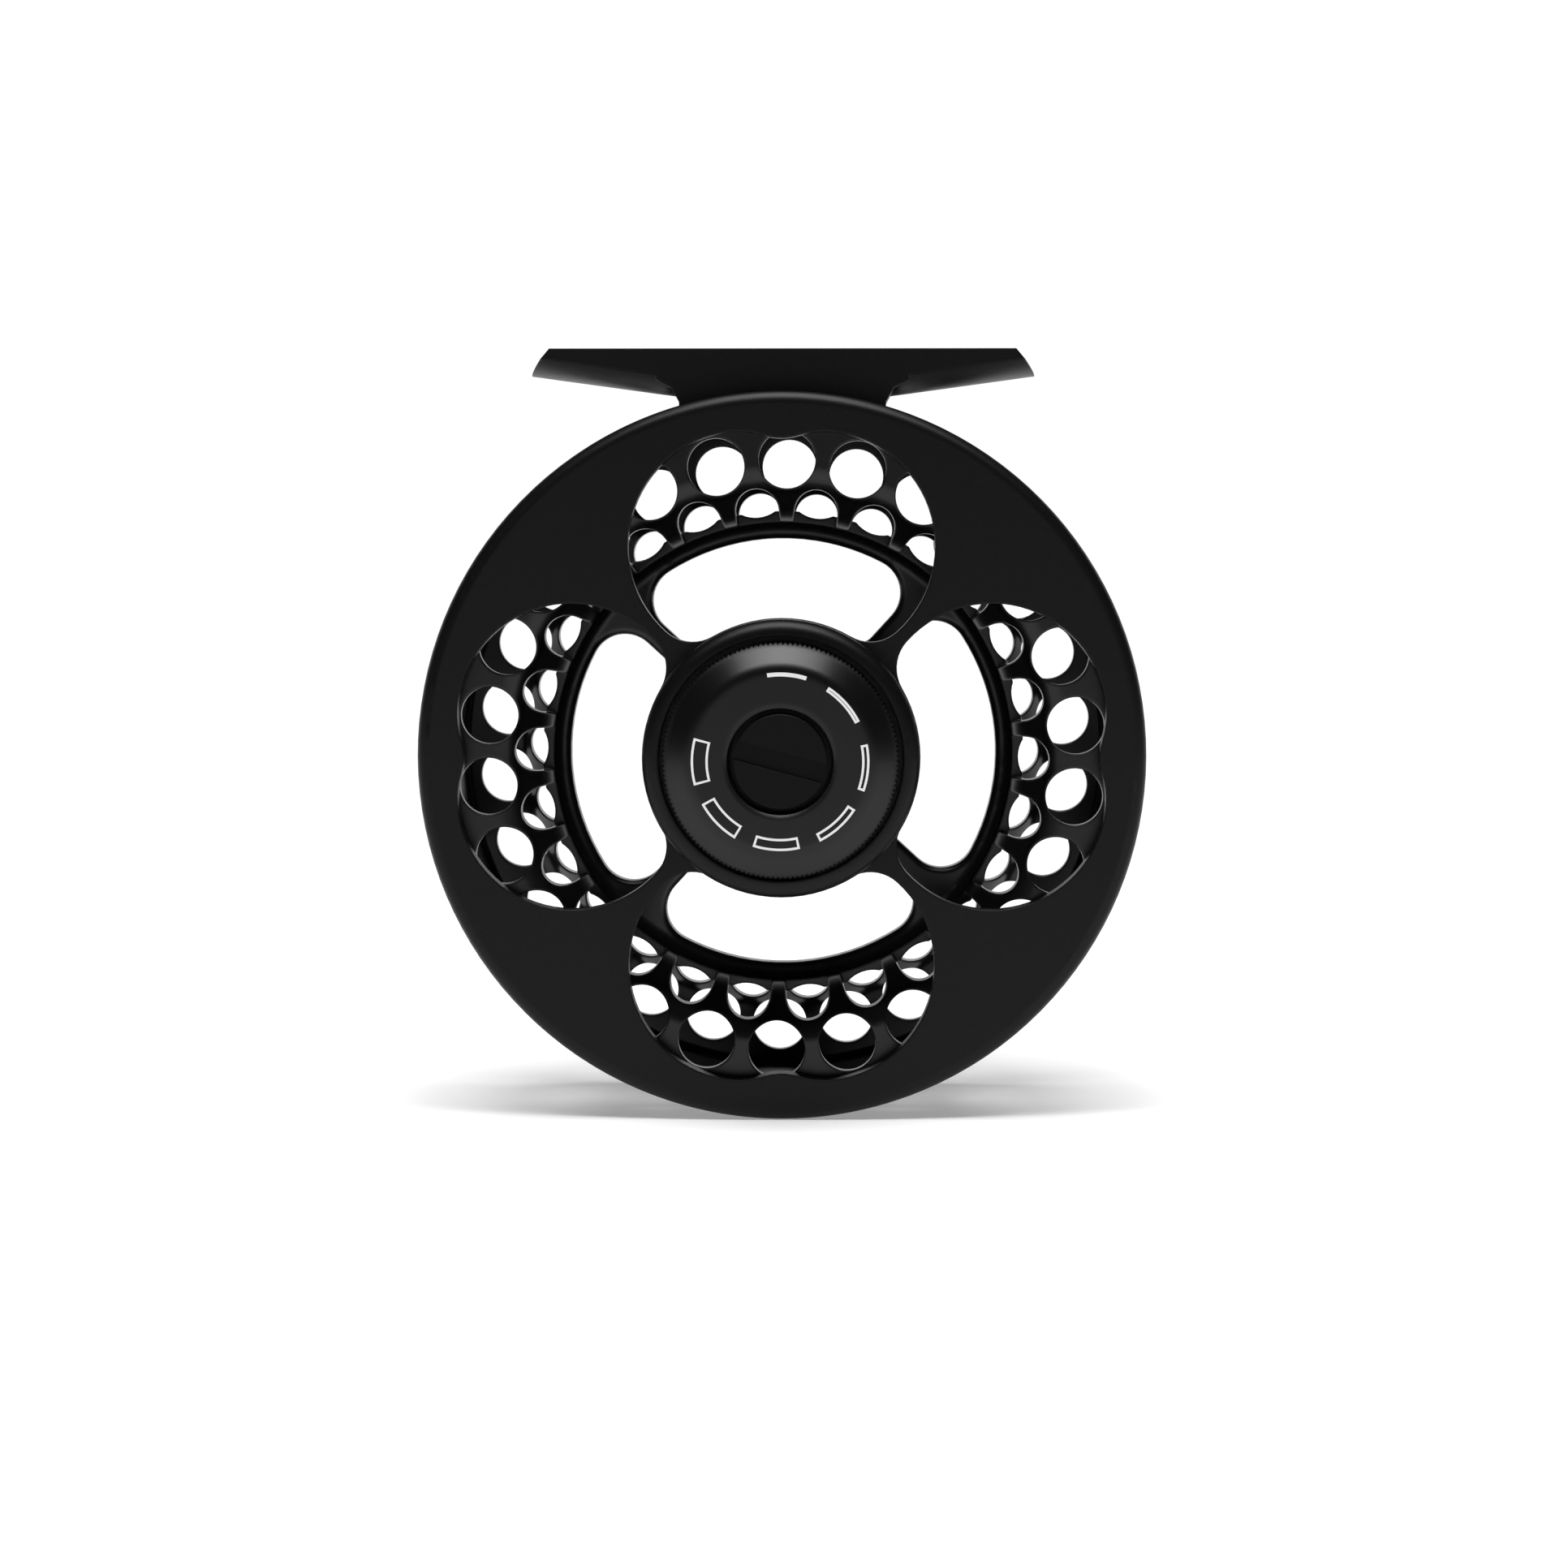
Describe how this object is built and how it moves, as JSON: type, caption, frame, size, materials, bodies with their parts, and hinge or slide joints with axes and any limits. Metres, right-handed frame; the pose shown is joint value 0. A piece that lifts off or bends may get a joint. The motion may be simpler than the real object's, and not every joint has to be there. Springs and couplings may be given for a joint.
{
  "type": "fly reel",
  "caption": "Fly reel with a caged frame, a perforated spool on a one-way clutch, a disc drag set by a knurled front knob, and a handle behind.",
  "frame": {"origin": "centre of the foot's flat seat, the face that meets the rod", "axes": "+Z out of the seat towards the rod, +Y along the spool's axis from the drag knob to the handle, +X to the right as seen from the drag knob"},
  "size_m": [0.082, 0.0636, 0.0872],
  "materials": {
    "black_anodised": "satin bead-blasted black anodise",
    "black_anodised_spool": "satin black anodise",
    "black_anodised_knob": "satin black anodise, turned",
    "black_grip": "satin black",
    "bare_aluminium": "machined",
    "steel": "machined and ground",
    "bright_steel": "polished",
    "brass": "turned",
    "friction_lining": "woven carbon lining",
    "acetal": "plain bearing plastic",
    "seal_rubber": "matt"
  },
  "bodies": {
    "frame": {"frame": "black_anodised", "reel_foot": "black_anodised", "foot_screws": "steel", "spindle": "steel", "spindle_circlip": "steel", "front_bearing_inner_race": "bright_steel", "rear_bearing_inner_race": "bright_steel", "drag_cover": "bare_aluminium", "cover_circlip": "steel", "rear_friction_disc": "friction_lining", "shaft_seal": "seal_rubber", "hub_o_ring": "seal_rubber", "detent_spring": "steel", "click_ring": "steel", "knob_cap_screw": "black_anodised_knob"},
    "drag_knob": {"drag_knob": "black_anodised_knob"},
    "adjuster": {"adjuster_nut": "brass", "push_pins": "steel", "spring_washers": "steel"},
    "pressure_plate": {"pressure_plate": "bare_aluminium", "front_friction_disc": "friction_lining"},
    "detent_ball": {"detent_ball": "bright_steel"},
    "drag_drum": {"drag_drum": "bare_aluminium", "drag_rotor": "steel", "front_bearing_outer_race": "bright_steel", "rear_bearing_outer_race": "bright_steel", "front_bearing_balls": "bright_steel", "rear_bearing_balls": "bright_steel"},
    "clutch_hub": {"clutch_hub": "bare_aluminium", "clutch_shell": "steel", "clutch_cage": "acetal", "clutch_rollers": "bright_steel"},
    "spool": {"spool": "black_anodised_spool", "spool_cap": "black_anodised_spool", "cap_screws": "steel", "snap_ring": "steel", "counterweight": "black_anodised_spool", "handle_pin": "steel", "handle_screw": "steel", "click_spring": "steel"},
    "handle_knob": {"handle_knob": "black_grip", "handle_bushes": "acetal"},
    "click_pin": {"click_pin": "steel"}
  },
  "joints": [
    {"name": "drag_knob_turn", "type": "hinge", "parent": "frame", "child": "drag_knob", "pos_m": [0, 0, -0.0462], "axis": [0, 1, 0], "range_deg": [0, 300]},
    {"name": "adjuster_travel", "type": "slide", "parent": "frame", "child": "adjuster", "axis": [0, 1, 0], "range_m": [0, 0.0008]},
    {"name": "pressure_plate_travel", "type": "slide", "parent": "frame", "child": "pressure_plate", "axis": [0, 1, 0], "range_m": [0, 0.0004]},
    {"name": "detent_ball_travel", "type": "slide", "parent": "frame", "child": "detent_ball", "axis": [0, 1, 0], "range_m": [0, 0.0003], "stiffness_N_per_m": 100, "springref_m": -0.001},
    {"name": "drag_slip", "type": "hinge", "parent": "frame", "child": "drag_drum", "pos_m": [0, 0, -0.0462], "axis": [0, 1, 0], "continuous": true},
    {"name": "clutch_spin", "type": "hinge", "parent": "drag_drum", "child": "clutch_hub", "pos_m": [0, 0, -0.0462], "axis": [0, 1, 0], "continuous": true},
    {"name": "spool_removal", "type": "slide", "parent": "clutch_hub", "child": "spool", "axis": [0, 1, 0], "range_m": [0, 0.032]},
    {"name": "handle_knob_spin", "type": "hinge", "parent": "spool", "child": "handle_knob", "pos_m": [0.02258, 0.02, -0.02159], "axis": [0, 1, 0], "continuous": true},
    {"name": "click_pin_travel", "type": "slide", "parent": "spool", "child": "click_pin", "axis": [0, 1, 0], "range_m": [0, 0.0004], "stiffness_N_per_m": 100, "springref_m": -0.001}
  ],
  "couplings": [
    {"joint": "adjuster_travel", "follows": "drag_knob_turn", "m_per_rad": 0.00015271},
    {"joint": "pressure_plate_travel", "follows": "drag_knob_turn", "m_per_rad": 0.000076356}
  ]
}
